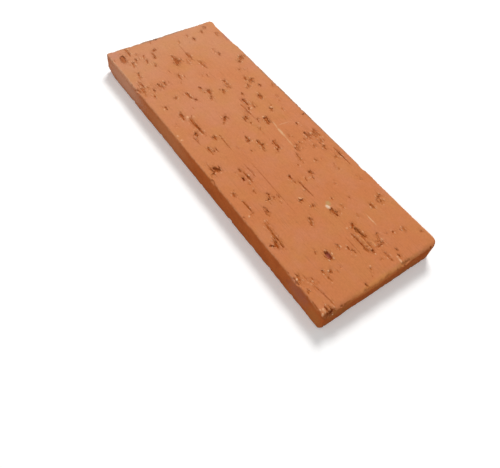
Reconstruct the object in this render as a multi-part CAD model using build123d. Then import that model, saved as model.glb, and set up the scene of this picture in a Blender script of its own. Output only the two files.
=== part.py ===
from build123d import *
import os

# Rustic brick slip: one fired clay tile, lying on its flat back with the torn face up.
# X runs along the length, the way the clay left the die, from the far end to the near end.
# Y runs across, from the left side to the right side, and Z out of the torn face.
# The origin is at the middle of the back.

# Overall size in millimetres
slip_length = 245.0
slip_width = 90.0
slip_thickness = 15.0

# Round-overs of the long edges and cut ends
face_arris = 0.6
back_arris = 0.8

# Corner rounds seen from above, each worn by its own amount
far_left_corner = 2.0
far_right_corner = 2.6
near_right_corner = 5.0
near_left_corner = 1.6

# Worn foot of the far left corner: reach along the length, across the width and up
foot_wear_along = 11.0
foot_wear_across = 4.5
foot_wear_up = 5.5

# A tear's depth as a share of its width, and the size of its floor as a share of its opening
tear_depth_ratio = 0.4
tear_floor_ratio = 0.7

# Opening of a tear in shares of its length and width: blunt head, widest near it, narrower torn tail.
tear_opening = [
    (0.00, -0.26),
    (0.14, -0.50),
    (0.46, -0.34),
    (0.80, -0.36),
    (1.00, -0.04),
    (0.86, 0.26),
    (0.58, 0.36),
    (0.22, 0.50),
    (0.02, 0.20),
]
# The deepest point of a tear, as a share of its length from the head
tear_deepest = 0.3

# Main tears of the face, where grit was dragged along under the stripping wire.
# Each row: place of the head in percent of the length from the far end and of the width
# from the left side, then length and width in mm, then the tail's turn in degrees from +X.
face_tears = [
    # far end
    (1.8, 89.6, 3.4, 2.4, -20),
    (2.9, 83.9, 4.8, 2.1, -8),
    (6.1, 94.0, 5.0, 2.1, -22),
    (4.7, 72.7, 6.0, 2.1, -8),
    (10.4, 57.3, 8.5, 2.3, -4),
    (13.8, 44.1, 8.5, 3.8, 172),
    (12.3, 48.2, 4.8, 2.6, -52),
    (4.7, 38.2, 4.6, 2.6, -70),
    (5.6, 32.9, 9.0, 2.0, -5),
    (7.5, 24.4, 5.6, 2.0, -10),
    (0.4, 16.0, 11.0, 2.3, -2),
    (7.2, 13.3, 5.8, 2.3, -16),
    (2.8, 9.8, 10.0, 4.4, -9),
    (11.7, 11.1, 8.2, 2.1, -14),
    # between the far end and the middle
    (19.4, 95.6, 5.6, 3.8, -50),
    (20.8, 90.0, 3.6, 2.7, -10),
    (14.9, 81.3, 4.2, 2.1, -30),
    (15.4, 61.1, 10.5, 2.0, 1),
    (17.3, 37.9, 7.2, 2.0, -14),
    (18.6, 23.3, 5.2, 2.1, -5),
    (18.5, 17.8, 5.2, 2.1, 10),
    (15.3, 6.7, 7.0, 2.1, 4),
    (18.0, 5.1, 5.4, 2.6, -4),
    (29.3, 86.2, 5.0, 3.2, -48),
    (27.8, 82.4, 4.0, 2.4, -16),
    (32.4, 77.3, 5.2, 2.3, 148),
    (32.5, 87.8, 3.2, 2.2, -5),
    (25.8, 65.6, 5.4, 1.9, -20),
    (29.3, 58.9, 4.4, 2.4, -26),
    (27.1, 48.2, 6.0, 3.0, -8),
    (25.2, 31.3, 9.0, 2.2, 4),
    (27.2, 10.0, 4.2, 2.0, 0),
    # middle
    (36.1, 80.7, 4.4, 3.3, -25),
    (42.2, 79.6, 3.4, 2.4, -35),
    (35.0, 65.6, 9.4, 2.2, 2),
    (44.2, 69.2, 8.4, 3.7, -12),
    (41.3, 57.8, 6.0, 2.3, -40),
    (38.7, 43.6, 5.6, 3.0, -38),
    (50.1, 44.1, 5.4, 2.7, 176),
    (34.4, 19.4, 19.5, 2.4, 1),
    (31.7, 16.1, 8.4, 2.5, -5),
    (40.0, 15.2, 3.8, 2.6, -12),
    (54.0, 85.4, 10.5, 2.0, 2),
    (54.9, 94.1, 4.2, 2.2, -45),
    (60.9, 89.1, 4.2, 2.3, -4),
    (55.6, 59.9, 6.8, 2.4, 190),
    (50.3, 49.6, 9.6, 2.1, 2),
    (54.4, 10.9, 5.8, 3.8, 215),
    # between the middle and the near end
    (65.9, 64.2, 3.6, 2.6, 5),
    (57.1, 23.6, 13.5, 1.6, 3),
    (66.0, 27.1, 5.6, 2.0, -12),
    (70.3, 17.8, 2.9, 2.4, 0),
    (64.9, 8.9, 11.5, 1.5, 0),
    (72.6, 10.7, 26.0, 1.7, -2.5),
    (62.2, 94.6, 22.0, 1.4, 0),
    # near end
    (77.8, 56.1, 8.4, 2.5, -2),
    (81.8, 94.2, 4.0, 2.4, -84),
    (85.5, 58.7, 11.5, 2.5, 9),
    (86.6, 54.1, 18.5, 1.7, 2),
    (92.4, 57.6, 3.4, 2.2, -6),
    (77.7, 38.7, 6.2, 2.0, -27),
    (89.6, 30.0, 7.0, 3.5, 176),
    (78.4, 8.0, 6.6, 2.4, -12),
    (79.6, 6.9, 4.8, 2.1, -102),
    (98.6, 37.2, 3.4, 2.3, -20),
]

# Knocks on the edges of the face, in the same terms: the long spall on the far right edge,
# the broken near left corner, and small nicks along both long edges and the two ends.
edge_chips = [
    (1.0, 100.0, 36.0, 3.2, 0),
    (100.2, 10.6, 10.5, 6.5, -90),
    (99.4, 5.3, 4.0, 2.0, 178),
    (17.6, 1.4, 6.0, 3.0, 4),
    (55.6, 1.2, 5.0, 2.4, -8),
    (88.4, 1.0, 7.0, 2.6, 0),
    (71.0, 99.8, 7.0, 2.6, 2),
    (99.6, 66.0, 8.0, 2.4, 92),
    (0.4, 37.0, 9.0, 2.2, 86),
]


def rounded_blank():
    """The slip before its face is torn: a wire-cut block with worn corners and arrises."""
    half_length = slip_length / 2
    half_width = slip_width / 2
    corners = [
        (-half_length, -half_width, far_left_corner),
        (-half_length, half_width, far_right_corner),
        (half_length, half_width, near_right_corner),
        (half_length, -half_width, near_left_corner),
    ]
    outline = Rectangle(slip_length, slip_width)
    for x, y, radius in corners:
        corner = outline.vertices().sort_by_distance((x, y, 0))[0]
        outline = fillet(corner, radius)
    blank = extrude(outline, slip_thickness)
    blank = fillet(blank.faces().sort_by(Axis.Z)[-1].edges(), face_arris)
    blank = fillet(blank.faces().sort_by(Axis.Z)[0].edges(), back_arris)
    wear_plane = Plane(
        origin=(foot_wear_along - half_length, -half_width, 0),
        z_dir=(1 / foot_wear_along, 1 / foot_wear_across, 1 / foot_wear_up),
    )
    return split(blank, bisect_by=wear_plane, keep=Keep.TOP)


def tear_tool(length, width, side):
    """Flat-sided wedge that cuts one tear: head at the origin, tail along +X, opening at Z = 0."""
    depth = tear_depth_ratio * width

    def outline_at(height):
        size = 1 + (1 - tear_floor_ratio) * height / depth
        points = []
        for along, across in tear_opening:
            x = length * (tear_deepest + (along - tear_deepest) * size)
            points.append((x, side * width * across * size))
        return Pos(0, 0, height) * Polygon(*points, align=None)

    return loft([outline_at(-depth), outline_at(depth)], ruled=True)


def placed_tools(rows):
    """Tear tools set on the plane of the face, one for each row, every other one mirrored."""
    tools = []
    for number, (along, across, length, width, turn) in enumerate(rows):
        x = (along / 100 - 0.5) * slip_length
        y = (across / 100 - 0.5) * slip_width
        side = -1 if number % 2 else 1
        tools.append(Location((x, y, slip_thickness), (0, 0, turn)) * tear_tool(length, width, side))
    return tools


brick_slip = rounded_blank() - placed_tools(edge_chips) - placed_tools(face_tears)

os.makedirs("parts", exist_ok=True)
export_step(brick_slip, "parts/brick_slip.step")
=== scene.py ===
import bpy
import math
import random
from mathutils import Euler, Matrix, Vector


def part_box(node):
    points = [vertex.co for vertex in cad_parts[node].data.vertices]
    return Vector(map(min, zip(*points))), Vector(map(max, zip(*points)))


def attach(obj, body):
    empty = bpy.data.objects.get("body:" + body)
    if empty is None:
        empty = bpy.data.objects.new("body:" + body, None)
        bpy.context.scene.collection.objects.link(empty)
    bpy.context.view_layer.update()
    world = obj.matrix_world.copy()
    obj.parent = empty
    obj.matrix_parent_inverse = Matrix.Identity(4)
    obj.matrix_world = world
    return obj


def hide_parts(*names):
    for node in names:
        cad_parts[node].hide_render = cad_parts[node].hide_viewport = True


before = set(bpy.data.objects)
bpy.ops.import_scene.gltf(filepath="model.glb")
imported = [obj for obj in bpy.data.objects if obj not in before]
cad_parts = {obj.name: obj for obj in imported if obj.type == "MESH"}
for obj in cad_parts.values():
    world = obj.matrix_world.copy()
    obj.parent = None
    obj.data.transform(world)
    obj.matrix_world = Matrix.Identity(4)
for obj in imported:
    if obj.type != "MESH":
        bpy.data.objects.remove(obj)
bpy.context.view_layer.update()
slipLow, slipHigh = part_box("brick_slip")
mm = 0.001
print("frame loaded, slip", [round(v / mm, 1) for v in slipHigh - slipLow], "mm")


# small helpers

def hexToLinear(hexColour):
    channels = [int(hexColour[i:i + 2], 16) / 255 for i in (1, 3, 5)]
    return [c / 12.92 if c <= 0.04045 else ((c + 0.055) / 1.055) ** 2.4 for c in channels] + [1.0]


def addNode(tree, kind, inputs=None, **settings):
    # a node given as an input stands for its first output
    node = tree.nodes.new(kind)
    for name, value in settings.items():
        setattr(node, name, value)
    for socket, value in (inputs or {}).items():
        if isinstance(value, bpy.types.Node):
            value = value.outputs[0]
        if isinstance(value, bpy.types.NodeSocket):
            tree.links.new(value, node.inputs[socket])
        else:
            node.inputs[socket].default_value = value
    return node


def stretch(along, across):
    # scale of a pattern that is this big in mm along and across the slip
    return (1 / (along * mm), 1 / (across * mm), 1 / (across * mm))


def span(start, full):
    # from and to of a map range, from mm
    return {"From Min": start * mm, "From Max": full * mm}


def stretchedNoise(tree, place, along, across, number=0):
    # noise of this size in mm, another piece of it for each number
    spread = addNode(tree, "ShaderNodeVectorMath", {
        0: place, 1: stretch(along, across), 2: (7.3 * number, 3.1 * number, 5.7 * number)},
        operation="MULTIPLY_ADD")
    return addNode(tree, "ShaderNodeTexNoise", {"Vector": spread, "Scale": 1.0, "Detail": 2.0})


def slipDistances(tree, place):
    # x, y and z of a point, then how far it is from an end, a side, the nearer of both, and the face
    x, y, z = addNode(tree, "ShaderNodeSeparateXYZ", {0: place}).outputs
    gaps = []
    for axis, edgeLine in ((x, slipHigh.x), (y, slipHigh.y)):
        far = addNode(tree, "ShaderNodeMath", {0: axis}, operation="ABSOLUTE")
        gaps.append(addNode(tree, "ShaderNodeMath", {0: edgeLine, 1: far}, operation="SUBTRACT"))
    edgeGap = addNode(tree, "ShaderNodeMath", dict(enumerate(gaps)), operation="MINIMUM")
    low = addNode(tree, "ShaderNodeMath", {0: slipHigh.z, 1: z}, operation="SUBTRACT")
    return x, y, z, *gaps, edgeGap, low


def selectOnly(*objs):
    bpy.ops.object.select_all(action="DESELECT")
    for obj in objs:
        obj.select_set(True)
    bpy.context.view_layer.objects.active = objs[0]


def scatter(source, places):
    # a copy of the source for each place, turn and scale, all joined to one object
    copies = []
    for place, turn, scale in places:
        copy = source.copy()
        copy.data = source.data.copy()
        bpy.context.scene.collection.objects.link(copy)
        copy.data.transform(Matrix.LocRotScale(place, turn, scale))
        copies.append(copy)
    bpy.data.objects.remove(source)
    selectOnly(*copies)
    bpy.ops.object.join()
    return bpy.context.object


def applyModifier(obj, kind, **settings):
    selectOnly(obj)
    modifier = obj.modifiers.new(kind.title(), kind)
    for name, value in settings.items():
        setattr(modifier, name, value)
    bpy.ops.object.modifier_apply(modifier=modifier.name)


def triangleCount(obj):
    return sum(len(p.vertices) - 2 for p in obj.data.polygons)


# tears too small for the solid, read off the face
# each: x and y of the head from the middle of the face, length, width (mm), tail's turn (degrees)

smallTear = {
    "depth": 0.38,           # mm, and a share of the width on top
    "depthRatio": 0.30,
    "tail": 0.6,             # width of the tail as a share of the head's
    "ragged": 0.35,          # mm that the sides wander
    "raggedSize": 1.3,       # mm
    "meltVoxel": 0.22,       # mm, melts tools that cross into one
    # nicks strewn round the tears: how many to a tear, then ranges in mm and degrees
    "strays": 2,
    "strayShare": 0.30,      # share of the solid's own tear corners that get one
    "cornerDepth": (0.4, 4),         # mm below the face that these corners are looked for
    "cornerInset": 3,        # mm in from the sides
    "straySeed": 11,
    "strayReach": (3.6, 1.4),
    "strayLength": (0.9, 3.4),
    "strayWidth": (0.5, 1.0),
    "strayTurn": (-28, 8),
    "far": [
        (-115.0, 17.8, 3.4, 1.6, -15), (-92.2, 27.2, 4.0, 1.1, -25), (-90.0, 2.6, 9.0, 1.1, -10),
        (-111.0, 8.6, 3.2, 1.4, -20), (-69.8, 6.9, 3.0, 1.2, -20), (-71.0, 3.2, 2.0, 1.5, 0),
        (-63.4, 30.8, 2.2, 1.8, -20), (-99.3, -4.7, 3.0, 1.6, -5), (-76.0, -8.3, 2.2, 1.2, -20),
        (-96.8, -19.8, 4.2, 1.6, -20), (-108.7, -22.6, 4.8, 1.7, -18), (-107.2, -29.5, 4.2, 1.9, -10),
        (-112.5, -26.0, 3.4, 1.2, -25), (-121.0, -10.5, 2.8, 1.8, -10), (-74.3, -34.0, 3.8, 1.7, -10),
        (-67.8, -36.4, 3.8, 1.5, -16), (-79.0, -43.0, 3.2, 1.8, 5), (-73.5, -41.0, 2.8, 1.4, -6),
        (-70.2, -41.4, 1.8, 1.2, 0), (-113.0, -43.0, 3.0, 1.4, -20), (-86.0, -15.5, 5.0, 0.9, 0),
        (-71.0, -14.5, 2.4, 1.2, 10), (-79.0, -33.3, 1.6, 1.2, 0), (-77.5, -36.3, 2.6, 1.4, 0),
    ],
    "middleLeft": [
        (-27.8, 37.2, 2.8, 1.6, -10), (-22.8, 36.2, 2.0, 1.4, 0), (-38.2, 42.2, 4.2, 1.4, -35),
        (-15.2, 33.0, 3.6, 1.4, -8), (-3.0, 43.0, 2.4, 1.6, -85), (-41.2, 17.1, 3.6, 1.5, -20),
        (-28.2, 17.1, 3.2, 1.7, -5), (-25.4, 18.4, 1.6, 1.2, 30), (-26.6, 12.8, 2.2, 1.8, -30),
        (-15.4, 12.0, 2.2, 1.5, -30), (-55.0, 13.0, 5.4, 1.5, 8), (-51.6, 12.3, 1.8, 1.4, -40),
        (-31.2, 10.0, 11.5, 1.2, 2), (-14.4, 5.9, 2.6, 1.4, -25), (-7.0, 8.6, 2.4, 1.4, -40),
        (-26.0, 8.8, 1.8, 1.0, -20), (-37.0, 28.9, 2.6, 1.1, -30), (-22.2, 28.6, 3.4, 1.0, -35),
        (-49.2, -3.4, 4.8, 1.7, -12), (-60.2, -5.1, 4.8, 1.8, -15), (-23.2, -10.2, 3.0, 1.1, -40),
        (-52.0, -14.2, 2.6, 2.0, 5), (-44.8, -20.3, 2.2, 1.4, -10), (-60.2, -23.8, 2.4, 1.3, -30),
        (-59.4, -25.8, 5.4, 1.0, -40), (-15.4, -22.9, 2.8, 2.4, 2), (-9.0, -31.7, 6.0, 1.7, -1),
        (-22.4, -34.9, 12.0, 0.9, 5), (-37.6, -38.2, 1.8, 1.4, 0), (-6.8, -27.5, 3.6, 1.2, -8),
        (-14.5, -19.0, 16.0, 0.9, -1), (-38.4, -25.0, 2.6, 1.2, -75), (-19.6, -25.8, 3.0, 1.0, -75),
        (-61.6, 36.6, 3.0, 1.0, -30), (-62.0, 33.6, 3.4, 1.0, -30),
    ],
    "middleRight": [
        (1.2, 32.9, 3.4, 1.9, -10), (15.2, 35.6, 4.0, 1.7, 12), (21.8, 37.4, 2.4, 1.8, -40),
        (23.0, 39.2, 2.2, 1.5, -30), (17.4, 39.6, 2.6, 1.4, 0), (38.0, 36.4, 2.6, 1.6, -30),
        (42.6, 31.2, 3.4, 1.2, -35), (15.8, 28.3, 2.2, 1.4, -30), (23.6, 30.3, 2.6, 2.0, -40),
        (16.2, 23.4, 3.4, 1.5, 10), (16.8, 20.2, 1.8, 1.4, 0), (19.4, 20.8, 3.6, 1.1, -45),
        (19.0, 17.8, 2.6, 1.7, -10), (8.0, 20.9, 2.0, 1.2, -30), (35.4, 26.2, 1.6, 1.3, 0),
        (34.0, 22.8, 2.2, 1.6, -40), (24.2, 15.0, 8.4, 1.3, -7), (43.6, 12.0, 2.4, 1.3, -40),
        (31.2, 10.2, 2.2, 1.4, -30), (6.6, 9.2, 3.6, 1.9, -38), (42.4, 7.2, 2.4, 1.3, -15),
        (13.8, 6.9, 2.4, 1.6, -30), (5.9, -0.2, 3.4, 1.5, 80), (36.0, -0.9, 3.8, 1.8, -6),
        (41.0, -1.0, 2.8, 1.2, 0), (44.6, 1.8, 15.0, 0.9, -1), (55.6, 20.8, 2.6, 1.3, -70),
        (57.6, 36.8, 1.9, 1.4, -20), (60.6, 37.8, 1.8, 1.2, -60), (6.4, -8.6, 2.2, 1.5, -20),
        (17.5, -19.2, 7.0, 0.9, 3), (15.3, -24.6, 3.0, 1.8, -12), (22.8, -26.6, 2.6, 1.9, -5),
        (20.0, -27.0, 2.0, 1.1, 0), (27.8, -26.4, 1.8, 1.3, 0), (33.8, -26.9, 3.0, 1.4, 8),
        (44.0, -21.8, 3.6, 1.5, -80), (44.8, -18.4, 2.2, 1.7, -85), (44.2, -16.8, 3.4, 1.2, 10),
        (47.6, -29.0, 1.9, 1.4, 0), (30.0, -38.6, 3.0, 1.7, -22), (47.8, -38.4, 2.8, 1.0, -35),
        (47.2, -43.6, 3.0, 1.5, 0), (55.8, -33.6, 7.0, 1.0, 2), (54.2, -5.2, 3.4, 2.2, -60),
        (61.2, -2.0, 3.2, 1.6, -55), (1.6, -40.8, 2.8, 1.0, -30), (0.8, -39.4, 7.5, 0.8, 0),
        (9.8, -38.4, 5.0, 1.5, -62), (0.0, -15.2, 30.0, 0.8, 0),
    ],
    "near": [
        (63.5, 10.8, 1.5, 1.2, 0), (68.3, 21.2, 1.6, 1.3, -30), (70.6, 12.8, 3.4, 1.1, -8),
        (73.2, 5.6, 3.6, 1.5, 75), (80.8, 36.4, 3.0, 1.9, -12), (78.6, 34.8, 1.9, 1.4, -20),
        (79.6, 28.6, 4.4, 1.8, 6), (84.8, 9.3, 4.0, 2.0, -42), (101.1, 15.8, 4.6, 1.2, -84),
        (103.9, 15.8, 5.8, 1.3, -80), (101.4, 8.4, 2.0, 1.4, -40), (97.6, 17.0, 2.6, 1.5, -10),
        (111.6, 19.0, 2.4, 1.4, -10), (115.6, 17.4, 3.0, 1.8, -8), (110.8, 12.0, 6.6, 1.0, 0),
        (112.0, 7.6, 3.0, 1.0, -60), (100.4, 22.3, 1.8, 1.2, -20), (102.0, 26.5, 2.0, 1.7, -40),
        (102.8, 31.2, 1.9, 1.3, 0), (103.2, 34.2, 2.1, 1.2, -15), (111.2, 41.8, 2.0, 1.5, -80),
        (82.0, 15.2, 2.6, 1.0, 50), (65.9, -8.5, 1.7, 1.1, -10), (91.2, -8.8, 4.0, 1.5, -10),
        (95.8, -4.5, 3.0, 1.5, -10), (98.8, -3.7, 3.5, 1.6, 16), (102.2, -23.0, 2.4, 2.0, -60),
        (99.2, -27.4, 3.4, 1.5, 6), (105.0, -26.9, 2.2, 1.1, 0), (107.0, -26.8, 1.4, 1.2, 0),
        (88.2, -22.6, 1.6, 1.3, -40), (102.6, -16.5, 1.4, 1.0, -40), (112.8, -3.2, 4.4, 1.1, 22),
        (99.6, -35.3, 4.4, 1.0, 10), (97.6, -38.1, 1.6, 1.1, 0), (100.5, -37.2, 1.5, 1.0, 0),
        (104.8, -41.2, 2.0, 1.4, -20), (94.6, -40.8, 6.4, 1.6, -22), (106.0, -36.9, 15.0, 0.8, 9),
    ],
}


def makeTearTool():
    # one tool, 1 long and 1 wide: a tapered bar on its side, blunt head at the origin, tail along +X
    bpy.ops.object.select_all(action="DESELECT")
    bpy.ops.mesh.primitive_cone_add(vertices=10, radius1=0.5, radius2=smallTear["tail"] / 2, depth=1.0)
    tool = bpy.context.object
    bpy.ops.object.mode_set(mode="EDIT")
    bpy.ops.mesh.select_all(action="SELECT")
    bpy.ops.transform.translate(value=(0, 0, 0.5))
    bpy.ops.mesh.select_mode(type="FACE")
    bpy.ops.mesh.select_all(action="DESELECT")
    bpy.ops.object.mode_set(mode="OBJECT")
    for way, inset, out in ((-1, 0.22, 0.10), (1, 0.10, 0.08)):
        for face in tool.data.polygons:
            face.select = face.normal.z * way > 0.9
        bpy.ops.object.mode_set(mode="EDIT")
        bpy.ops.mesh.inset(thickness=inset)
        bpy.ops.transform.translate(value=(0, 0, way * out))     # rounds the end off
        bpy.ops.object.mode_set(mode="OBJECT")
    bpy.ops.object.mode_set(mode="EDIT")
    bpy.ops.mesh.select_all(action="SELECT")
    bpy.ops.mesh.subdivide(number_cuts=2)
    bpy.ops.object.mode_set(mode="OBJECT")
    tool.data.transform(Matrix.Rotation(math.radians(90), 4, "Y"))
    return tool


def strayRows(seats):
    draw = random.Random(smallTear["straySeed"])
    reachX, reachY = smallTear["strayReach"]
    rows = []
    for x, y in seats:
        rows.append((x + draw.uniform(-reachX, reachX), y + draw.gauss(0, reachY),
                     draw.uniform(*smallTear["strayLength"]), draw.uniform(*smallTear["strayWidth"]),
                     draw.uniform(*smallTear["strayTurn"])))
    return rows


def makeTearTools(tearCorners):
    rows = smallTear["far"] + smallTear["middleLeft"] + smallTear["middleRight"] + smallTear["near"]
    draw = random.Random(smallTear["straySeed"])
    seats = [(x + length / 2, y) for x, y, length, width, turn in rows] * smallTear["strays"]
    seats += [seat for seat in tearCorners if draw.random() < smallTear["strayShare"]]
    rows = rows + strayRows(seats)
    places = []
    for x, y, length, width, turn in rows:
        depth = smallTear["depth"] + smallTear["depthRatio"] * width
        place = Vector((x * mm, y * mm, slipHigh.z))
        turned = Euler((0, 0, math.radians(turn)))
        places.append((place, turned, Vector((length, width, 2 * depth)) * mm))
    tools = scatter(makeTearTool(), places)
    tools.name = "tear_tools"
    ragged = bpy.data.textures.new("ragged_sides", "CLOUDS")
    ragged.noise_scale = smallTear["raggedSize"] * mm
    applyModifier(tools, "DISPLACE", texture=ragged, texture_coords="LOCAL",
                  strength=smallTear["ragged"] * mm, mid_level=0.5)
    applyModifier(tools, "REMESH", mode="VOXEL", voxel_size=smallTear["meltVoxel"] * mm)
    print("tear tools", len(places), "melted to", triangleCount(tools), "triangles")
    return tools


# crumbs of clay that the wire dragged along and left on the face

crumb = {
    "heightRatio": 0.40,     # stands above the face by this share of its size
    "rough": 0.12,           # share of its size that the lump is knocked about by
    "seed": 5,
    # x, y on the face and size, mm
    "places": [
        (-14.2, 16.3, 1.5), (-20.5, 4.7, 1.4), (-19.6, 27.2, 1.3), (53.3, -6.0, 1.4), (67.5, 4.5, 2.4),
        (-38.6, -28.2, 1.6), (-95.5, -6.0, 1.3), (85.2, 4.0, 1.0), (101.5, 6.2, 1.5), (48.5, -40.4, 1.1),
        (96.5, -43.0, 1.9), (120.2, -44.4, 1.5), (121.6, -43.3, 1.4), (112.4, -2.2, 1.1), (-3.2, -3.6, 1.1),
        (120.0, 15.4, 1.3), (116.5, 15.7, 1.1), (-53.0, -37.6, 1.1), (-27.4, -42.6, 1.3), (-22.8, -42.6, 1.3),
        (118.6, -42.2, 1.2), (120.2, -42.2, 1.0), (117.4, -43.8, 1.1), (119.6, -36.2, 1.0),
    ],
}


def makeCrumbs(clay):
    bpy.ops.object.select_all(action="DESELECT")
    bpy.ops.mesh.primitive_ico_sphere_add(subdivisions=2, radius=0.5)
    lump = bpy.context.object
    bpy.ops.object.mode_set(mode="EDIT")
    bpy.ops.mesh.select_all(action="SELECT")
    bpy.ops.transform.vertex_random(offset=crumb["rough"], uniform=0.6, normal=0.4, seed=crumb["seed"])
    bpy.ops.object.mode_set(mode="OBJECT")
    draw = random.Random(crumb["seed"])
    places = []
    for x, y, size in crumb["places"]:
        spin = Euler((draw.uniform(-0.4, 0.4), draw.uniform(-0.4, 0.4), draw.uniform(0, 6.3)))
        scale = Vector((size, size * draw.uniform(0.6, 0.9), 2 * size * crumb["heightRatio"])) * mm
        above = Vector((x * mm, y * mm, slipHigh.z + mm))
        seat = clay.ray_cast(above, Vector((0, 0, -1)))[1]
        places.append((seat, spin, scale))
    print("crumbs", len(places))
    return scatter(lump, places)


# the slip itself

slip = {
    "clayVoxel": 0.34,       # mm, grain of the clay mesh
    "triangles": 192000,
    "spare": 0.04,           # mm that the clay keeps inside the slip's own box
    "faceDrop": 0.06,        # mm, sinks the face so that crumbs and rims stay under the slip's own height
    # where each change starts and where it is full, mm
    "tornFade": (1.0, 2.4),          # in from the sides, where a low place counts as torn
    "upperFade": (8, 5),             # down from the face, what belongs to the face
    "lumpFade": (-0.05, -0.25),      # up from the face, pale lumps
    "arrisFade": (1.4, 0.4),         # from an edge line, wear
    "nearFade": (4, 1),              # from the near end, more wear
    "footFade": (2.2, 0.6),          # from a bottom edge line, notches
    "surfaceFade": (2.2, 0.3),       # from a side or an end, its own layers
    "backFade": (2.0, 0.2),          # from the back, its own layers
    "rightFade": (0, 36),            # from the middle to the right, shallower tears
    # ragged outlines of the tears: noise size along and across, push along and across (mm)
    "wander": [(7.0, 0.9, 2.0, 0.15), (2.6, 2.2, 0.6, 0.25)],
    "softBlur": 5,           # passes, rounds the walls of the tears
    "tearDepth": (0.40, 1.0),       # share of the tears' depth that stays at the far end and at the near end
    "fullDepthAt": 90,       # mm from the middle towards the near end
    "rightDepth": 0.65,      # and at the right side
    "rimBlur": 5,            # passes
    "rimLift": 1.5,          # mm of lift for each mm of tear beside it
    "rimPatch": 1.8,         # mm, size of the lumps that the rims break into
    "rubBlur": 60,           # passes, spreads the drag streaks out from the tears
    "rubElsewhere": 0.12,    # share of the streaks that is left away from the tears
    "nearWear": 2.2,         # times as much wear along the near end
    "endRoll": (3.6, 1.6),   # mm in from the near end, and down, that the face rolls over
    "leftRoll": (1.2, 0.9),  # and along the left side
    # relief layers: size along, size across, depth (mm), and the part of the noise that shows
    "streak": [(7, 0.9, 0.60, 0.54, 0.74), (3.2, 1.1, 0.40, 0.54, 0.74)],
    "face": [
        (42, 34, 0.16, 0.30, 0.70), (15, 5, 0.12, 0.35, 0.65), (3.4, 2.2, 0.10, 0.35, 0.70),
        (1.5, 1.1, 0.20, 0.64, 0.80), (0.8, 0.7, 0.05, 0.30, 0.70),
    ],
    "side": [
        (40, 14, 0.15, 0.30, 0.70), (26, 0.8, 0.08, 0.45, 0.70), (5, 3, 0.12, 0.45, 0.72),
        (1.2, 1.0, 0.08, 0.45, 0.75),
    ],
    "end": [(14, 16, 0.15, 0.42, 0.72), (4, 2.4, 0.25, 0.52, 0.74), (1.3, 1.0, 0.12, 0.52, 0.75)],
    "back": [(40, 30, 0.20, 0.45, 0.75), (18, 1.2, 0.10, 0.50, 0.72), (2.0, 1.5, 0.12, 0.52, 0.75)],
    "arris": [(11, 9, 0.20, 0.54, 0.74), (3.6, 3.0, 0.45, 0.59, 0.76), (1.4, 1.2, 0.12, 0.52, 0.74)],
    "foot": [(5, 4, 0.6, 0.54, 0.72), (2.2, 1.8, 0.3, 0.55, 0.72)],       # notches along the bottom edge
}


def addLayers(tree, place, layers):
    # the layers' depths added up, in metres
    total = 0.0
    for number, (along, across, depth, low, high) in enumerate(layers):
        noise = stretchedNoise(tree, place, along, across, number)
        cut = addNode(tree, "ShaderNodeMapRange", {
            "Value": noise, "From Min": low, "From Max": high, "To Max": depth * mm},
            interpolation_type="SMOOTHSTEP")
        total = addNode(tree, "ShaderNodeMath", {0: total, 1: cut})
    return total


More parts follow.
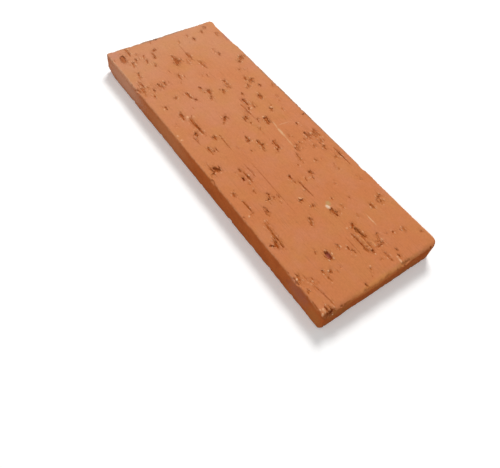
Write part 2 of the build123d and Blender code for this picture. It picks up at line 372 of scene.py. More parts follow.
def clayRelief():
    tree = bpy.data.node_groups.new("clay_relief", "GeometryNodeTree")
    tree.interface.new_socket("Geometry", in_out="INPUT", socket_type="NodeSocketGeometry")
    tree.interface.new_socket("Geometry", in_out="OUTPUT", socket_type="NodeSocketGeometry")
    mesh = addNode(tree, "NodeGroupInput")
    place = addNode(tree, "GeometryNodeInputPosition")
    x, y, z, endGap, sideGap, edgeGap, low = slipDistances(tree, place)

    # inside the face, where tears are
    inFace = addNode(tree, "ShaderNodeMapRange", {
        "Value": edgeGap, **span(*slip["tornFade"])}, interpolation_type="SMOOTHSTEP")
    upper = addNode(tree, "ShaderNodeMapRange", {
        "Value": low, **span(*slip["upperFade"])}, interpolation_type="SMOOTHSTEP")
    torn = addNode(tree, "ShaderNodeMath", {0: inFace, 1: upper}, operation="MULTIPLY")

    # ragged outlines
    for along, across, pushX, pushY in slip["wander"]:
        spread = addNode(tree, "ShaderNodeVectorMath", {
            0: place, 1: (1 / (along * mm), 1 / (across * mm), 1 / (along * mm))}, operation="MULTIPLY")
        noise = addNode(tree, "ShaderNodeTexNoise", {"Vector": spread, "Scale": 1.0, "Detail": 1.0})
        push = addNode(tree, "ShaderNodeVectorMath", {
            0: noise.outputs["Color"], 1: (-0.5, -0.5, -0.5)}, operation="ADD")
        flat = addNode(tree, "ShaderNodeVectorMath", {
            0: push, 1: (2 * pushX * mm, 2 * pushY * mm, 0)}, operation="MULTIPLY")
        held = addNode(tree, "ShaderNodeVectorMath", {0: flat, "Scale": torn}, operation="SCALE")
        mesh = addNode(tree, "GeometryNodeSetPosition", {"Geometry": mesh, "Offset": held})

    # lumps that stand above the face, for the clay's colour
    lump = addNode(tree, "ShaderNodeMapRange", {"Value": low, **span(*slip["lumpFade"])})
    mesh = addNode(tree, "GeometryNodeStoreNamedAttribute", {
        "Geometry": mesh, "Name": "lump", "Value": lump})

    # how deep a point is torn, and how near a tear it stands, both in mm for the clay's colour
    lowMm = addNode(tree, "ShaderNodeMath", {0: low, 1: 1 / mm}, operation="MULTIPLY")
    tornMm = addNode(tree, "ShaderNodeMath", {0: lowMm, 1: torn}, operation="MULTIPLY")
    mesh = addNode(tree, "GeometryNodeStoreNamedAttribute", {
        "Geometry": mesh, "Name": "torn", "Value": tornMm})
    tornHere = addNode(tree, "GeometryNodeInputNamedAttribute", {"Name": "torn"})
    spread = addNode(tree, "GeometryNodeBlurAttribute", {"Value": tornHere, "Iterations": slip["rimBlur"]})
    rise = addNode(tree, "ShaderNodeMath", {0: spread, 1: tornHere}, operation="SUBTRACT")
    rim = addNode(tree, "ShaderNodeMath", {0: rise, 1: 0.0}, operation="MAXIMUM")
    soft = addNode(tree, "GeometryNodeBlurAttribute", {"Value": tornHere, "Iterations": slip["softBlur"]})
    keep = addNode(tree, "ShaderNodeMapRange", {
        "Value": x, "From Min": slipLow.x, "From Max": slip["fullDepthAt"] * mm,
        "To Min": slip["tearDepth"][0], "To Max": slip["tearDepth"][1]})
    aside = addNode(tree, "ShaderNodeMapRange", {
        "Value": y, **span(*slip["rightFade"]), "To Min": 1.0, "To Max": slip["rightDepth"]})
    keep = addNode(tree, "ShaderNodeMath", {0: keep, 1: aside}, operation="MULTIPLY")
    soft = addNode(tree, "ShaderNodeMath", {0: soft, 1: keep}, operation="MULTIPLY")
    eased = addNode(tree, "ShaderNodeMath", {0: tornHere, 1: soft}, operation="SUBTRACT")
    eased = addNode(tree, "ShaderNodeMath", {0: eased, 1: torn}, operation="MULTIPLY")
    mesh = addNode(tree, "GeometryNodeStoreNamedAttribute", {
        "Geometry": mesh, "Name": "eased", "Value": eased})
    patch = addNode(tree, "ShaderNodeTexNoise", {"Vector": place, "Scale": 1 / (slip["rimPatch"] * mm)})
    burr = addNode(tree, "ShaderNodeMapRange", {
        "Value": patch.outputs["Fac"], "From Min": 0.42, "From Max": 0.60}, interpolation_type="SMOOTHSTEP")
    rim = addNode(tree, "ShaderNodeMath", {0: rim, 1: burr}, operation="MULTIPLY")
    mesh = addNode(tree, "GeometryNodeStoreNamedAttribute", {
        "Geometry": mesh, "Name": "rim", "Value": rim})

    # drag streaks, strongest beside the tears
    rubbed = addNode(tree, "GeometryNodeBlurAttribute", {"Value": tornHere, "Iterations": slip["rubBlur"]})
    share = addNode(tree, "ShaderNodeMapRange", {
        "Value": rubbed, "From Min": 0.02, "From Max": 0.22,
        "To Min": slip["rubElsewhere"], "To Max": 1.0})
    mesh = addNode(tree, "GeometryNodeStoreNamedAttribute", {
        "Geometry": mesh, "Name": "rub", "Value": share})
    streak = addNode(tree, "ShaderNodeMath", {
        0: addLayers(tree, place, slip["streak"]), 1: share}, operation="MULTIPLY")
    streak = addNode(tree, "ShaderNodeMath", {0: streak, 1: torn}, operation="MULTIPLY")
    allTorn = addNode(tree, "ShaderNodeMath", {
        0: streak, 1: 1 / mm, 2: tornHere}, operation="MULTIPLY_ADD")
    mesh = addNode(tree, "GeometryNodeStoreNamedAttribute", {
        "Geometry": mesh, "Name": "torn", "Value": allTorn})

    # wear along the edge lines
    nearest = None
    for drop in (low, z):
        line = addNode(tree, "ShaderNodeCombineXYZ", {0: edgeGap, 1: drop})
        reach = addNode(tree, "ShaderNodeVectorMath", {0: line}, operation="LENGTH").outputs["Value"]
        nearest = reach if nearest is None else addNode(
            tree, "ShaderNodeMath", {0: nearest, 1: reach}, operation="MINIMUM")
    onArris = addNode(tree, "ShaderNodeMapRange", {
        "Value": nearest, **span(*slip["arrisFade"])}, interpolation_type="SMOOTHSTEP")
    worn = addNode(tree, "ShaderNodeMath", {
        0: addLayers(tree, place, slip["arris"]), 1: onArris}, operation="MULTIPLY")
    nearEnd = addNode(tree, "ShaderNodeMapRange", {
        "Value": x, "From Min": slipHigh.x - slip["nearFade"][0] * mm,
        "From Max": slipHigh.x - slip["nearFade"][1] * mm,
        "To Min": 1.0, "To Max": slip["nearWear"]})
    worn = addNode(tree, "ShaderNodeMath", {0: worn, 1: nearEnd}, operation="MULTIPLY")
    onFoot = addNode(tree, "ShaderNodeMapRange", {
        "Value": reach, **span(*slip["footFade"])}, interpolation_type="SMOOTHSTEP")
    worn = addNode(tree, "ShaderNodeMath", {
        0: addLayers(tree, place, slip["foot"]), 1: onFoot, 2: worn}, operation="MULTIPLY_ADD")

    # each surface goes inwards by its own layers
    shifts = []
    for name, gap, axis in (("end", endGap, x), ("side", sideGap, y)):
        onIt = addNode(tree, "ShaderNodeMapRange", {
            "Value": gap, **span(*slip["surfaceFade"])}, interpolation_type="SMOOTHSTEP")
        depth = addNode(tree, "ShaderNodeMath", {0: addLayers(tree, place, slip[name]), 1: worn})
        way = addNode(tree, "ShaderNodeMath", {0: axis}, operation="SIGN")
        pushed = addNode(tree, "ShaderNodeMath", {0: depth, 1: onIt}, operation="MULTIPLY")
        turned = addNode(tree, "ShaderNodeMath", {0: pushed, 1: way}, operation="MULTIPLY")
        shifts.append(addNode(tree, "ShaderNodeMath", {0: turned, 1: -1.0}, operation="MULTIPLY"))

    sunk = addNode(tree, "ShaderNodeMath", {
        0: addLayers(tree, place, slip["face"]), 1: slip["faceDrop"] * mm})
    sunk = addNode(tree, "ShaderNodeMath", {0: sunk, 1: worn})
    for where, edgeLine, way, (reachIn, fall) in (
            (x, slipHigh.x, 1, slip["endRoll"]), (y, slipLow.y, -1, slip["leftRoll"])):
        roll = addNode(tree, "ShaderNodeMapRange", {
            "Value": where, "From Min": edgeLine - way * reachIn * mm, "From Max": edgeLine})
        roll = addNode(tree, "ShaderNodeMath", {0: roll, 1: 2.0}, operation="POWER")
        sunk = addNode(tree, "ShaderNodeMath", {0: roll, 1: fall * mm, 2: sunk}, operation="MULTIPLY_ADD")
    sunk = addNode(tree, "ShaderNodeMath", {0: sunk, 1: streak})
    lift = addNode(tree, "ShaderNodeMath", {0: rim, 1: slip["rimLift"] * mm}, operation="MULTIPLY")
    lift = addNode(tree, "ShaderNodeMath", {
        0: addNode(tree, "GeometryNodeInputNamedAttribute", {"Name": "eased"}), 1: mm, 2: lift},
        operation="MULTIPLY_ADD")
    down = addNode(tree, "ShaderNodeMath", {0: lift, 1: sunk}, operation="SUBTRACT")
    top = addNode(tree, "ShaderNodeMath", {0: down, 1: upper}, operation="MULTIPLY")
    onBack = addNode(tree, "ShaderNodeMapRange", {
        "Value": z, **span(*slip["backFade"])}, interpolation_type="SMOOTHSTEP")
    under = addNode(tree, "ShaderNodeMath", {0: addLayers(tree, place, slip["back"]), 1: worn})
    bottom = addNode(tree, "ShaderNodeMath", {0: under, 1: onBack}, operation="MULTIPLY")
    shifts.append(addNode(tree, "ShaderNodeMath", {0: top, 1: bottom}))

    shift = addNode(tree, "ShaderNodeCombineXYZ", dict(enumerate(shifts)))
    moved = addNode(tree, "ShaderNodeVectorMath", {0: place, 1: shift})
    spare = Vector((1, 1, 1)) * slip["spare"] * mm
    kept = addNode(tree, "ShaderNodeVectorMath", {
        0: moved, 1: tuple(slipHigh - spare)}, operation="MINIMUM")
    kept = addNode(tree, "ShaderNodeVectorMath", {
        0: kept, 1: tuple(slipLow + spare)}, operation="MAXIMUM")
    mesh = addNode(tree, "GeometryNodeSetPosition", {"Geometry": mesh, "Position": kept})
    addNode(tree, "NodeGroupOutput", {0: mesh})
    return tree


def makeSlip():
    clay = bpy.data.objects.new("rustic_slip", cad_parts["brick_slip"].data.copy())
    bpy.context.scene.collection.objects.link(clay)
    selectOnly(clay)
    bpy.ops.object.mode_set(mode="EDIT")
    bpy.ops.mesh.select_all(action="SELECT")
    bpy.ops.mesh.remove_doubles(threshold=0.001 * mm)
    bpy.ops.object.mode_set(mode="OBJECT")

    # corners of the solid's own tears
    highest, lowest = (slipHigh.z - depth * mm for depth in smallTear["cornerDepth"])
    reachX = slipHigh.x / mm - smallTear["cornerInset"]
    reachY = slipHigh.y / mm - smallTear["cornerInset"]
    inside = [v.co / mm for v in clay.data.vertices if lowest < v.co.z < highest]
    tearCorners = [(v.x, v.y) for v in inside if abs(v.x) < reachX and abs(v.y) < reachY]
    tools = makeTearTools(tearCorners)
    applyModifier(clay, "BOOLEAN", operation="DIFFERENCE", solver="MANIFOLD", object=tools)
    bpy.data.objects.remove(tools)
    print("small tears cut", triangleCount(clay), "triangles")
    selectOnly(clay, makeCrumbs(clay))
    bpy.ops.object.join()

    applyModifier(clay, "REMESH", mode="VOXEL", voxel_size=slip["clayVoxel"] * mm)
    print("clay mesh", triangleCount(clay), "triangles")
    applyModifier(clay, "NODES", node_group=clayRelief())
    applyModifier(clay, "DECIMATE", ratio=min(1.0, slip["triangles"] / triangleCount(clay)))
    print("thinned to", triangleCount(clay), "triangles")
    clay.data.materials.clear()
    selectOnly(clay)
    bpy.ops.object.shade_smooth()
    return clay


# fired clay

finish = {
    # the face from the far end to the near end, paler at the far end as painted sheen of light at a grazing
    # angle
    "face": [(0.0, "#CF8F69"), (0.45, "#CF8458"), (1.0, "#CE7F50")],
    "nearColourAt": 70,      # mm from the middle, where the near end's colour starts
    "cloudSize": 34,         # mm
    # yellower and pinker patches: colour, size (mm), shift of the noise
    "patches": [("#C98A4F", 17, 3.0), ("#D2896A", 13, 8.0)],
    "patchCover": 0.35,
    # tear tones: the darker clay of the torn core, partly painted shade that deepens with the depth
    "pit": "#9E420A",
    "shallow": "#BE6E38",
    "shredSize": (2.2, 0.8),         # mm, shreds of clay inside the tears
    # depths in mm where the tears' tones start and are full
    "tearTonesAndShade": [("shallow", 0.15, 0.50), ("pit", 0.45, 1.0)],
    # pale tone of the lifted rims beside the tears: painted highlight where they face the light; also
    # lightens the upper edge lines
    "rim": "#E8B084",
    "rimHighlightCover": 0.8,
    "skin": "#C4713C",
    "skinDark": "#A8562C",
    "skinOlive": "#A87440",
    "blotSize": 9,           # mm
    "dullCover": 0.35,
    "farCover": 0.43,        # the tears' darkness at the far end, paled along with the painted sheen there
    "rightCover": 0.70,      # and towards the right side
    "rightFade": (5, 36),    # mm from the middle
    "endFade": (3, 1.2),     # mm from an end, where its tones start and are full
    "oliveCover": 0.6,
    "footFade": (10, 1),     # mm above the back, where the ends grow darker towards the bottom as painted shade
    "footShadeCover": 0.08,
    "arrisFade": (1.4, 0.7),         # mm from an edge line
    "arrisCover": 0.25,
    "rubSize": 4,            # mm, lighter spots along the upper edges
    "lineSize": (14, 0.7),   # mm, fine lines that the wire drew
    "lineDark": 0.10,
    # torn clay beside the tears: size along and across (mm), the part of the noise that shows
    "streaks": [(6.0, 0.9, 0.52, 0.66), (2.6, 1.0, 0.54, 0.68), (1.3, 0.9, 0.57, 0.70)],
    "streakCover": 0.85,
    "streakBump": 0.20,      # mm
    "crumb": "#ECB488",
    "crumbSize": (2.6, 1.5),         # mm from flake to flake, along and across
    "fraySize": 0.9,         # mm, frays the flakes' outlines
    "crumbShare": 0.58,
    "crumbBump": 0.20,       # mm
    "crumbCover": 0.85,
    "grainSize": 1.1,        # mm, sand
    "grainShade": (0.96, 1.04),
    "grit": 0.35,            # mm
    "gritBump": 0.04,        # mm
    # marks that stand out: centre and half sizes (mm), turn (degrees), colour, how much it covers
    "marks": [
        ((67.3, 4.4, 15), (2.2, 1.7, 2), 10, "#E6C6AA", 1.0),          # lime grain and its halo
        ((65.4, 6.4, 15), (2.6, 2.2, 2), 0, "#B9A06A", 0.60),
        ((3.6, 18.3, 15), (8.0, 1.3, 1), -2, "#DFB083", 0.85),        # pale scratch and its ends
        ((-4.0, 18.9, 15), (5.5, 0.8, 1), -6, "#DEA97C", 0.65),
        ((13.0, 17.7, 15), (7.0, 0.8, 1), -3, "#DEA97A", 0.65),
        ((-2.6, 25.0, 15), (7.0, 0.6, 1), 84, "#DDA57A", 0.60),
        ((88.2, 21.0, 15), (6.0, 0.6, 1), -1, "#E3B588", 0.75),         # second scratch, and two short ones
        ((119.0, 15.6, 15), (3.0, 0.9, 2), 0, "#E6AE84", 0.80),
        ((101.4, 10.6, 15), (3.0, 1.2, 1), -10, "#D8955F", 0.60),
        ((91.0, 8.6, 14.5), (7.0, 1.5, 2), 8, "#B4703C", 0.50),         # browner tear and its ridge
        ((95.5, 6.2, 15), (8.5, 1.1, 1), 2, "#D8935C", 0.60),
        ((67.2, -9.6, 15), (2.0, 0.5, 1), 4, "#DE9A6A", 0.60),
        ((93.4, -17.8, 14.8), (4.2, 2.6, 2), 0, "#A0503A", 0.55),       # purple-brown pit
        ((93.9, -17.6, 14), (2.6, 1.7, 2), -10, "#BE6C5C", 0.75),
        ((9.0, -36.2, 14.3), (3.4, 2.8, 2), 35, "#AE6230", 0.50),       # browner tear
        ((95.8, -44.2, 14.5), (2.4, 1.1, 2), 0, "#D29272", 0.70),       # pinker, browner spots on the edges
        ((121.6, 5.0, 14.4), (2.2, 2.6, 2), 0, "#A0582C", 0.60),
        ((-99.0, 43.5, 14.5), (8.0, 2.4, 3), -4, "#A8716A", 0.55),      # grey-pink stains on the edges
        ((-118.0, -41.0, 14), (6.0, 7.0, 3), 30, "#C58A75", 0.50),
        ((102.0, -45.5, 9), (13.0, 2.5, 9), 0, "#B07868", 0.45),
        # paler middle of the left side
        ((-40.0, -45.5, 8), (42.0, 3.0, 14), 0, "#CF8E60", 0.75),
        # paler, greyer far part of the left side: painted light
        ((-98.0, -45.5, 8), (42.0, 3.0, 12), 0, "#DEB296", 0.80),
        # paler line along the far part of the left upper edge
        ((-100.0, -44.8, 14.3), (32.0, 1.7, 1.7), 0, "#E4AE88", 0.70),
        ((121.6, -43.0, 13.2), (3.4, 3.0, 3.0), 0, "#9C5A2E", 0.60),    # broken near left corner: broken clay, near-black in its notch partly as painted shade
        ((122.5, -39.3, 13.4), (3.3, 3.1, 3.2), 0, "#702C06", 0.92),
        ((118.8, -40.3, 14.6), (2.8, 0.9, 1.2), 0, "#8E4314", 0.80),
        ((120.2, -44.6, 14.3), (1.1, 0.9, 1.2), -40, "#EDB388", 0.90),  # bright crumbs on it
        ((122.0, -43.4, 13.4), (1.0, 0.8, 1.6), 0, "#E0A070", 0.90),
        ((116.0, -45.5, 6), (8.0, 3.0, 9), 0, "#BE8248", 0.45),         # yellower near corner, painted bounce light on the left side; yellower near edge
        ((121.5, 8.0, 14.5), (2.6, 40.0, 2.5), 0, "#B98048", 0.40),
        ((122.0, -5.0, 13.4), (3.6, 29.0, 4.8), 0, "#EE9C5A", 0.50),   # paler upper half of the near end: painted light on its rolled-over top
        ((-20.0, 45.4, 15), (130.0, 2.5, 2.5), 0, "#8C745E", 0.75),     # greyer right and far edges
        ((-123.0, 0.0, 15), (3.2, 60.0, 2.5), 0, "#92806E", 0.75),
    ],
    # long drag lines: x and y of the middle, length, width (mm), turn (degrees), how much it covers
    "dragLines": [
        (34.5, -15.1, 68, 1.2, -0.5, 0.40), (-6.6, -19.4, 17, 1.3, 0, 0.65), (19.0, -19.3, 18, 1.1, 1, 0.55),
        (-22.5, 10.3, 15, 1.4, 1, 0.70), (97.0, 4.0, 18, 1.3, 0, 0.55), (102.3, 14.0, 5, 1.1, 86, 0.80),
        (68.5, -35.6, 25, 1.2, -1, 0.60),
        (40.5, 40.0, 23, 1.4, 0, 0.75), (24.0, -23.2, 13, 1.5, 2, 0.75), (113.2, -35.8, 15, 1.0, 9, 0.60),
        (-16.5, -34.4, 11, 1.2, 1, 0.50), (105.0, 13.2, 7, 1.3, 96, 0.85), (51.5, 2.0, 17, 1.2, 0, 0.55),
        (42.5, -36.8, 10, 1.5, 0, 0.75),
        (8.5, -39.6, 16, 1.2, 0, 0.60), (96.5, -1.0, 19, 1.1, 0, 0.45), (-28.0, -27.2, 21, 1.8, 0.5, 0.90),
        (-102.0, 6.2, 16, 1.3, -3, 0.35), (14.0, 34.0, 10, 1.6, 2, 0.60),
        (-34.0, 13.9, 12, 1.8, 3, 0.55), (-80.5, 9.8, 9, 1.8, 3, 0.40), (17.0, 39.0, 11, 1.4, 0, 0.55),
    ],
    "dragLine": "#984A1A",
    "markFade": 1.5,         # a mark fades out at this many times its half size
    "markFray": 0.9,         # how much the sand breaks up its outline
    "roughness": 0.92,
    "specular": 0.05,
}


def firedClay():
    # fired terracotta, extruded and cut: matt all over, dark where it is torn (darker core clay, deepened by
    # painted shade in the hollows), redder on its die skin
    material = bpy.data.materials.new("fired_terracotta")
    material.use_nodes = True
    tree = material.node_tree
    shader = tree.nodes["Principled BSDF"]
    place = addNode(tree, "ShaderNodeTexCoord").outputs["Object"]
    x, y, z, endGap, _, edgeGap, drop = slipDistances(tree, place)

    # paler at the far end, a painted sheen of light at a grazing angle, with clouds of a few centimetres
    clouds = addNode(tree, "ShaderNodeTexNoise", {
        "Vector": place, "Scale": 1 / (finish["cloudSize"] * mm), "Detail": 3.0})
    alongFace = addNode(tree, "ShaderNodeMapRange", {
        "Value": x, "From Min": slipLow.x, "From Max": finish["nearColourAt"] * mm})
    drift = addNode(tree, "ShaderNodeMapRange", {
        "Value": clouds.outputs["Fac"], "From Min": 0.3, "From Max": 0.7, "To Min": -0.22, "To Max": 0.22})
    mixed = addNode(tree, "ShaderNodeMath", {0: alongFace, 1: drift}, use_clamp=True)
    ramp = addNode(tree, "ShaderNodeValToRGB", {0: mixed})
    ramp.color_ramp.elements.new(0.5)
    for stop, (spot, colour) in zip(ramp.color_ramp.elements, finish["face"]):
        stop.position = spot
        stop.color = hexToLinear(colour)
    colour = ramp

    # yellower and pinker patches
    for tint, size, shift in finish["patches"]:
        spread = addNode(tree, "ShaderNodeVectorMath", {
            0: place, 1: (shift, shift, shift)}, operation="ADD")
        noise = addNode(tree, "ShaderNodeTexNoise", {"Vector": spread, "Scale": 1 / (size * mm)})
        patch = addNode(tree, "ShaderNodeMapRange", {
            "Value": noise.outputs["Fac"], "From Min": 0.45, "From Max": 0.70,
            "To Max": finish["patchCover"]})
        colour = addNode(tree, "ShaderNodeMix", {
            0: patch, 6: colour, 7: hexToLinear(tint)}, data_type="RGBA").outputs[2]

    # die skin on the sides and ends
    facing = addNode(tree, "ShaderNodeNewGeometry")
    upright = addNode(tree, "ShaderNodeSeparateXYZ", {0: facing.outputs["Normal"]}).outputs[2]
    edge = addNode(tree, "ShaderNodeMapRange", {
        "Value": z, "From Min": slipHigh.z - 0.1 * mm, "From Max": slipHigh.z - 0.7 * mm},
        interpolation_type="SMOOTHSTEP")
    level = addNode(tree, "ShaderNodeMapRange", {
        "Value": upright, "From Min": 0.85, "From Max": 0.40}, interpolation_type="SMOOTHSTEP")
    torn = addNode(tree, "ShaderNodeAttribute", attribute_name="torn").outputs["Fac"]
    rim = addNode(tree, "ShaderNodeAttribute", attribute_name="rim").outputs["Fac"]
    inTear = addNode(tree, "ShaderNodeMapRange", {"Value": torn, "From Min": 0.0, "From Max": 0.3})
    notTorn = addNode(tree, "ShaderNodeMath", {0: 1.0, 1: inTear}, operation="SUBTRACT")
    onSkin = addNode(tree, "ShaderNodeMath", {0: edge, 1: level}, operation="MULTIPLY")
    onSkin = addNode(tree, "ShaderNodeMath", {0: onSkin, 1: notTorn}, operation="MULTIPLY")
    blot = addNode(tree, "ShaderNodeTexNoise", {
        "Vector": place, "Scale": 1 / (finish["blotSize"] * mm), "Detail": 3.0})
    dull = addNode(tree, "ShaderNodeMapRange", {
        "Value": blot.outputs["Fac"], "From Min": 0.42, "From Max": 0.66, "To Max": finish["dullCover"]},
        interpolation_type="SMOOTHSTEP")
    skin = addNode(tree, "ShaderNodeMix", {
        0: dull, 6: hexToLinear(finish["skin"]), 7: hexToLinear(finish["skinDark"])},
        data_type="RGBA").outputs[2]
    onEnd = addNode(tree, "ShaderNodeMapRange", {"Value": endGap, **span(*finish["endFade"])})
    olive = addNode(tree, "ShaderNodeMapRange", {
        "Value": blot.outputs["Fac"], "From Min": 0.55, "From Max": 0.38, "To Max": finish["oliveCover"]})
    # the ends darker towards the bottom: painted shade of the contact underneath
    foot = addNode(tree, "ShaderNodeMapRange", {
        "Value": z, **span(*finish["footFade"]), "To Max": finish["footShadeCover"]})
    for share, tone in ((olive, "skinOlive"), (foot, "skinDark")):
        share = addNode(tree, "ShaderNodeMath", {0: share, 1: onEnd}, operation="MULTIPLY")
        skin = addNode(tree, "ShaderNodeMix", {
            0: share, 6: skin, 7: hexToLinear(finish[tone])}, data_type="RGBA").outputs[2]
    colour = addNode(tree, "ShaderNodeMix", {0: onSkin, 6: colour, 7: skin}, data_type="RGBA").outputs[2]

    # the line of the upper edges, lighter in places
    line = addNode(tree, "ShaderNodeCombineXYZ", {0: edgeGap, 1: drop})
    reach = addNode(tree, "ShaderNodeVectorMath", {0: line}, operation="LENGTH").outputs["Value"]
    onArris = addNode(tree, "ShaderNodeMapRange", {
        "Value": reach, **span(*finish["arrisFade"]), "To Max": finish["arrisCover"]})
    rubbed = addNode(tree, "ShaderNodeTexNoise", {
        "Vector": place, "Scale": 1 / (finish["rubSize"] * mm), "Detail": 2.0})
    paleSpots = addNode(tree, "ShaderNodeMapRange", {
        "Value": rubbed.outputs["Fac"], "From Min": 0.42, "From Max": 0.58},
        interpolation_type="SMOOTHSTEP")
    share = addNode(tree, "ShaderNodeMath", {0: onArris, 1: paleSpots}, operation="MULTIPLY")
    colour = addNode(tree, "ShaderNodeMix", {
        0: share, 6: colour, 7: hexToLinear(finish["rim"])}, data_type="RGBA").outputs[2]

    # tears: brown where shallow, dark red-brown where deep, partly the darker clay of the torn core and
    # partly painted shade that deepens with the depth
    strength = addNode(tree, "ShaderNodeMapRange", {"Value": alongFace, "To Min": finish["farCover"]})
    aside = addNode(tree, "ShaderNodeMapRange", {
        "Value": y, **span(*finish["rightFade"]), "To Min": 1.0, "To Max": finish["rightCover"]})
    strength = addNode(tree, "ShaderNodeMath", {0: strength, 1: aside}, operation="MULTIPLY")
    shreds = stretchedNoise(tree, place, *finish["shredSize"])
    uneven = addNode(tree, "ShaderNodeMapRange", {
        "Value": shreds, "From Min": 0.34, "From Max": 0.66, "To Min": 0.25, "To Max": 1.6})
    ragged = addNode(tree, "ShaderNodeMath", {0: torn, 1: uneven}, operation="MULTIPLY")
    for name, low, high in finish["tearTonesAndShade"]:
        deep = addNode(tree, "ShaderNodeMapRange", {
            "Value": ragged, "From Min": low, "From Max": high}, interpolation_type="SMOOTHSTEP")
        deep = addNode(tree, "ShaderNodeMath", {0: deep, 1: strength}, operation="MULTIPLY")
        colour = addNode(tree, "ShaderNodeMix", {
            0: deep, 6: colour, 7: hexToLinear(finish[name])}, data_type="RGBA").outputs[2]
    # lifted rims painted paler: painted highlight where they catch the light
    paintedRimHighlight = addNode(tree, "ShaderNodeMapRange", {
        "Value": rim, "From Min": 0.04, "From Max": 0.25, "To Max": finish["rimHighlightCover"]})
    colour = addNode(tree, "ShaderNodeMix", {
        0: paintedRimHighlight, 6: colour, 7: hexToLinear(finish["rim"])}, data_type="RGBA").outputs[2]

    # torn clay beside the tears: dark streaks, and crumbs that catch the light
    rub = addNode(tree, "ShaderNodeAttribute", attribute_name="rub").outputs["Fac"]
    streaks = None
    for along, across, low, high in finish["streaks"]:
        noise = stretchedNoise(tree, place, along, across)
        cut = addNode(tree, "ShaderNodeMapRange", {
            "Value": noise, "From Min": low, "From Max": high}, interpolation_type="SMOOTHSTEP")
        streaks = cut if streaks is None else addNode(
            tree, "ShaderNodeMath", {0: streaks, 1: cut}, operation="MAXIMUM")
    streaks = addNode(tree, "ShaderNodeMath", {0: streaks, 1: rub}, operation="MULTIPLY")
    cover = addNode(tree, "ShaderNodeMath", {0: streaks, 1: finish["streakCover"]}, operation="MULTIPLY")
    cover = addNode(tree, "ShaderNodeMath", {0: cover, 1: strength}, operation="MULTIPLY")
    colour = addNode(tree, "ShaderNodeMix", {
        0: cover, 6: colour, 7: hexToLinear(finish["shallow"])}, data_type="RGBA").outputs[2]
    spread = addNode(tree, "ShaderNodeVectorMath", {
        0: place, 1: stretch(*finish["crumbSize"])}, operation="MULTIPLY")
    fray = addNode(tree, "ShaderNodeTexNoise", {"Vector": place, "Scale": 1 / (finish["fraySize"] * mm)})
    bent = addNode(tree, "ShaderNodeVectorMath", {
        0: fray.outputs["Color"], 1: (0.7, 0.7, 0.0), 2: spread}, operation="MULTIPLY_ADD")
    cells = addNode(tree, "ShaderNodeTexVoronoi", {"Vector": bent, "Scale": 1.0})
    flake = addNode(tree, "ShaderNodeMapRange", {
        "Value": cells.outputs["Distance"], "From Min": 0.44, "From Max": 0.22},
        interpolation_type="SMOOTHSTEP")
    pick = addNode(tree, "ShaderNodeMath", {
        0: cells.outputs["Color"], 1: finish["crumbShare"]}, operation="LESS_THAN")
    crumbs = addNode(tree, "ShaderNodeMath", {0: flake, 1: pick}, operation="MULTIPLY")
    nearTear = addNode(tree, "ShaderNodeMapRange", {"Value": rub, "From Min": 0.2, "From Max": 0.6})
    for part in (nearTear, notTorn):
        crumbs = addNode(tree, "ShaderNodeMath", {0: crumbs, 1: part}, operation="MULTIPLY")
    lump = addNode(tree, "ShaderNodeAttribute", attribute_name="lump").outputs["Fac"]
    pale = addNode(tree, "ShaderNodeMath", {0: crumbs, 1: lump}, operation="MAXIMUM")
    cover = addNode(tree, "ShaderNodeMath", {0: pale, 1: finish["crumbCover"]}, operation="MULTIPLY")
    colour = addNode(tree, "ShaderNodeMix", {
        0: cover, 6: colour, 7: hexToLinear(finish["crumb"])}, data_type="RGBA").outputs[2]

    # fine drag lines, in patches
    fine = stretchedNoise(tree, place, *finish["lineSize"])
    drawn = addNode(tree, "ShaderNodeMapRange", {
        "Value": fine, "From Min": 0.55, "From Max": 0.72}, interpolation_type="SMOOTHSTEP")
    area = addNode(tree, "ShaderNodeMapRange", {
        "Value": clouds.outputs["Fac"], "From Min": 0.42, "From Max": 0.62},
        interpolation_type="SMOOTHSTEP")
    lines = addNode(tree, "ShaderNodeMath", {0: drawn, 1: area}, operation="MULTIPLY")
    darker = addNode(tree, "ShaderNodeMapRange", {
        "Value": lines, "To Min": 1.0, "To Max": 1 - finish["lineDark"]})
    colour = addNode(tree, "ShaderNodeMix", {
        0: 1.0, 6: colour, 7: darker}, data_type="RGBA", blend_type="MULTIPLY").outputs[2]

    # sand in the clay: light and dark grains
    grain = addNode(tree, "ShaderNodeTexNoise", {
        "Vector": place, "Scale": 1 / (finish["grainSize"] * mm), "Detail": 3.0})
    shade = addNode(tree, "ShaderNodeMapRange", {
        "Value": grain.outputs["Fac"], "From Min": 0.3, "From Max": 0.7,
        "To Min": finish["grainShade"][0], "To Max": finish["grainShade"][1]})
    colour = addNode(tree, "ShaderNodeMix", {
        0: 1.0, 6: colour, 7: shade}, data_type="RGBA", blend_type="MULTIPLY").outputs[2]

    # drag lines, then the marks that stand out
    marks = [((x0, y0, slipHigh.z / mm), (length / 2, width / 2, 2), turn, finish["dragLine"], cover)
             for x0, y0, length, width, turn, cover in finish["dragLines"]]
    frayed = addNode(tree, "ShaderNodeMath", {
        0: grain.outputs["Fac"], 1: -finish["markFray"]}, operation="MULTIPLY")
    for centre, half, turn, markColour, cover in marks + finish["marks"]:
        spot = addNode(tree, "ShaderNodeMapping", {
            "Vector": place, "Location": Vector(centre) * mm, "Rotation": (0, 0, math.radians(turn)),
            "Scale": Vector(half) * finish["markFade"] * mm}, vector_type="TEXTURE")
        ball = addNode(tree, "ShaderNodeTexGradient", {"Vector": spot}, gradient_type="SPHERICAL")
        broken = addNode(tree, "ShaderNodeMath", {
            0: ball.outputs["Fac"], 1: finish["markFade"], 2: frayed}, operation="MULTIPLY_ADD")
        shown = addNode(tree, "ShaderNodeMapRange", {
            "Value": broken, "From Min": 0.05, "From Max": 0.75, "To Max": cover},
            interpolation_type="SMOOTHSTEP")
        colour = addNode(tree, "ShaderNodeMix", {
            0: shown, 6: colour, 7: hexToLinear(markColour)}, data_type="RGBA").outputs[2]
    tree.links.new(colour, shader.inputs["Base Color"])

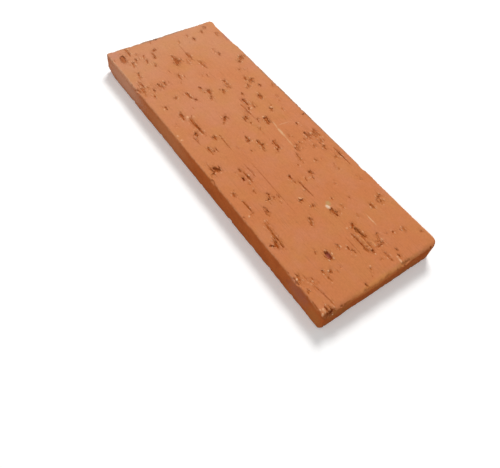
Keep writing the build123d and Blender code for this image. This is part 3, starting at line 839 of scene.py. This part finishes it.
    grit = addNode(tree, "ShaderNodeTexNoise", {
        "Vector": place, "Scale": 1 / (finish["grit"] * mm), "Detail": 2.0})
    height = addNode(tree, "ShaderNodeMath", {
        0: grit.outputs["Fac"], 1: finish["gritBump"]}, operation="MULTIPLY")
    for part, rise in ((streaks, -finish["streakBump"]), (crumbs, finish["crumbBump"])):
        height = addNode(tree, "ShaderNodeMath", {0: part, 1: rise, 2: height}, operation="MULTIPLY_ADD")
    bump = addNode(tree, "ShaderNodeBump", {"Height": height, "Strength": 1.0, "Distance": mm})
    tree.links.new(bump.outputs[0], shader.inputs["Normal"])
    shader.inputs["Roughness"].default_value = finish["roughness"]
    shader.inputs["Specular IOR Level"].default_value = finish["specular"]
    return material


clay = makeSlip()
clay.data.materials.append(firedClay())
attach(clay, "root")
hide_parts("brick_slip")


# floor, light and camera

studio = {
    "floorSize": 6.0,                      # m
    "floorColour": "#F8F8F7",
    "floorGlow": 0.20,                     # lifts what the camera sees of the floor to white
    "glowFrom": 0.4,                       # m from the slip, white all over beyond glowTo
    "glowTo": 1.4,
    "bounceColour": "#BE8C6C",             # what the clay sees of the floor
    "skyStrength": 0.36,
    # lamps: place (m), size (m), power (W)
    "lamps": {
        "key": ((-0.84, 0.84, 1.44), 0.6, 26.0),       # behind the slip as the camera sees it
        "fill": ((0.6, -1.25, 0.5), 1.0, 4.4),
    },
}

shot = {
    "spot": (177.3, -162.2, 252.5),        # mm
    "aim": (58.1, -46.5, 13.3),            # mm
    "roll": 10.36,                         # degrees
    "lens": 36.72,                         # mm on a 36 mm sensor
}


def eyeRay(tree):
    # 1 for rays from the camera, and for those it sees mirrored or through glass
    path = addNode(tree, "ShaderNodeLightPath")
    eye = path.outputs["Is Camera Ray"]
    for ray in ("Is Glossy Ray", "Is Transmission Ray"):
        eye = addNode(tree, "ShaderNodeMath", {0: eye, 1: path.outputs[ray]}, operation="MAXIMUM")
    return eye


def makeStudio():
    bpy.ops.object.select_all(action="DESELECT")
    bpy.ops.mesh.primitive_plane_add(size=studio["floorSize"], location=(0, 0, slipLow.z))
    floor = bpy.context.object
    floor.name = "floor"
    paper = bpy.data.materials.new("pale_paper")
    paper.use_nodes = True
    tree = paper.node_tree
    shader = tree.nodes["Principled BSDF"]
    eye = eyeRay(tree)
    seen = addNode(tree, "ShaderNodeMix", {
        0: eye, 6: hexToLinear(studio["bounceColour"]), 7: hexToLinear(studio["floorColour"])},
        data_type="RGBA")
    tree.links.new(seen.outputs[2], shader.inputs["Base Color"])
    spot = addNode(tree, "ShaderNodeTexCoord").outputs["Object"]
    away = addNode(tree, "ShaderNodeVectorMath", {0: spot}, operation="LENGTH").outputs["Value"]
    glow = addNode(tree, "ShaderNodeMapRange", {
        "Value": away, "From Min": studio["glowFrom"], "From Max": studio["glowTo"],
        "To Min": studio["floorGlow"], "To Max": 1.0}, interpolation_type="SMOOTHSTEP")
    glow = addNode(tree, "ShaderNodeMath", {0: eye, 1: glow}, operation="MULTIPLY")
    tree.links.new(glow.outputs[0], shader.inputs["Emission Strength"])
    shader.inputs["Emission Color"].default_value = (1, 1, 1, 1)
    shader.inputs["Roughness"].default_value = 1.0
    shader.inputs["Specular IOR Level"].default_value = 0.0
    floor.data.materials.append(paper)

    world = bpy.data.worlds.new("soft_sky")
    bpy.context.scene.world = world
    world.use_nodes = True
    sky = world.node_tree.nodes["Background"]
    strength = addNode(world.node_tree, "ShaderNodeMapRange", {
        "Value": eyeRay(world.node_tree), "To Min": studio["skyStrength"], "To Max": 1.0})
    world.node_tree.links.new(strength.outputs["Result"], sky.inputs["Strength"])
    sky.inputs["Color"].default_value = (1, 1, 1, 1)

    for name, (spot, size, power) in studio["lamps"].items():
        bpy.ops.object.light_add(type="AREA", location=spot)
        lamp = bpy.context.object
        lamp.name = name
        lamp.data.shape = "SQUARE"
        lamp.data.size = size
        lamp.data.energy = power
        lamp.rotation_euler = (-Vector(spot)).to_track_quat("-Z", "Y").to_euler()


def makeCamera():
    spot = Vector(shot["spot"]) * mm
    look = (Vector(shot["aim"]) * mm - spot).to_track_quat("-Z", "Y").to_matrix()
    bpy.ops.object.camera_add(location=spot)
    camera = bpy.context.object
    camera.rotation_euler = (look @ Matrix.Rotation(math.radians(shot["roll"]), 3, "Z")).to_euler()
    camera.data.lens = shot["lens"]
    camera.data.clip_start = 0.01
    bpy.context.scene.camera = camera


makeStudio()
makeCamera()
bpy.context.scene.view_settings.view_transform = "Standard"

print("scene ready")
